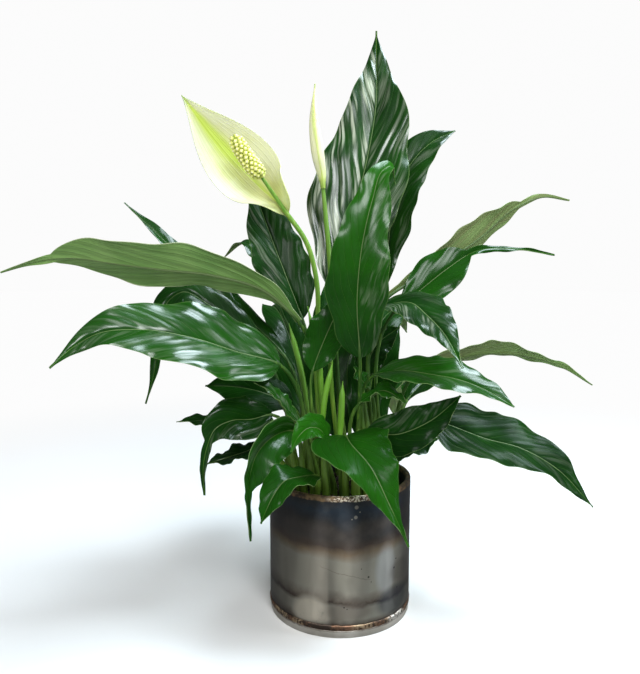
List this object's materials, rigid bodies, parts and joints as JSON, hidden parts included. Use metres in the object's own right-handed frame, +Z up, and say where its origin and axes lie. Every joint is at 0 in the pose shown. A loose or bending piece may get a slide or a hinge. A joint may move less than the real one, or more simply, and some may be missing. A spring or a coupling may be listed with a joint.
{
  "type": "potted peace lily",
  "caption": "Peace lily with glossy lance-shaped leaves and cream spathes, growing from potting mix in a round planter welded from steel pipe.",
  "frame": {"origin": "centre of the planter's flat underside", "axes": "+Z up; -Y the front, the side that the picture shows; +X to the right seen from the front"},
  "size_m": [0.4945, 0.2847, 0.5021],
  "materials": {
    "leaf_green": "gloss",
    "stalk_green": "satin",
    "spathe_cream": "satin",
    "spadix_yellow": "matte",
    "heat_tinted_steel": "satin",
    "weld_filler": "satin",
    "potting_mix": "matte"
  },
  "bodies": {
    "root": {"flower_left_spadix": "spadix_yellow", "flower_left_spathe": "spathe_cream", "flower_left_stalk": "stalk_green", "flower_right_spadix": "spadix_yellow", "flower_right_spathe": "spathe_cream", "flower_right_stalk": "stalk_green", "leaf_back_left": "leaf_green", "leaf_back_left_tip": "leaf_green", "leaf_back_low_left": "leaf_green", "leaf_back_low_right": "leaf_green", "leaf_back_middle": "leaf_green", "leaf_back_right": "leaf_green", "leaf_centre_curl": "leaf_green", "leaf_centre_front": "leaf_green", "leaf_centre_left": "leaf_green", "leaf_centre_right": "leaf_green", "leaf_front_over_pot": "leaf_green", "leaf_front_small": "leaf_green", "leaf_front_upright": "leaf_green", "leaf_inner_small": "leaf_green", "leaf_left_back_arch": "leaf_green", "leaf_left_back_high": "leaf_green", "leaf_left_big": "leaf_green", "leaf_left_dark": "leaf_green", "leaf_left_droop": "leaf_green", "leaf_left_high": "leaf_green", "leaf_left_mid": "leaf_green", "leaf_left_slim": "leaf_green", "leaf_left_tip_back": "leaf_green", "leaf_left_tip_low": "leaf_green", "leaf_right_broad": "leaf_green", "leaf_right_front": "leaf_green", "leaf_right_glossy": "leaf_green", "leaf_right_grey": "leaf_green", "leaf_right_high": "leaf_green", "leaf_right_high_low": "leaf_green", "leaf_right_long": "leaf_green", "leaf_right_low": "leaf_green", "leaf_right_small": "leaf_green", "leaf_right_upright": "leaf_green", "leaf_side_left": "leaf_green", "leaf_side_right": "leaf_green", "leaf_tall": "leaf_green", "pot_base_disc": "heat_tinted_steel", "pot_tube": "heat_tinted_steel", "pot_weld_bead": "weld_filler", "rolled_leaf_back_left": "stalk_green", "rolled_leaf_centre": "stalk_green", "rolled_leaf_front": "stalk_green", "rolled_leaf_left": "stalk_green", "soil": "potting_mix"}
  },
  "joints": []
}
